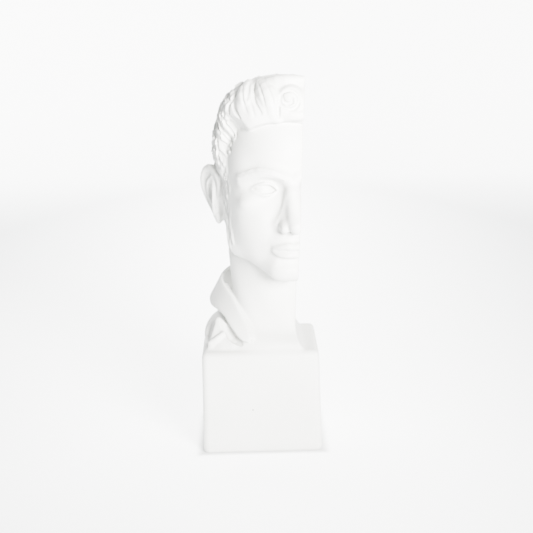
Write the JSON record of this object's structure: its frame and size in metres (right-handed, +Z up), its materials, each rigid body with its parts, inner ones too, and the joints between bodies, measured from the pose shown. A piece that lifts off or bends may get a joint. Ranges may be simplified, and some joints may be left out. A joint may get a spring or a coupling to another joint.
{
  "type": "half-face bust on a cube plinth",
  "caption": "Shelf bust of half a head with a swept-up hair front, ear, neck and open collar, sliced upright, on a plain cube plinth.",
  "frame": {"origin": "middle of the plinth's flat underside", "axes": "+Z up, the face looks along -Y, the sliced side faces +X"},
  "size_m": [0.092, 0.1341, 0.2905],
  "materials": {
    "white_plaster": "cast gypsum plaster sealed a satin matte white"
  },
  "bodies": {
    "root": {"half_bust": "white_plaster"}
  },
  "joints": []
}
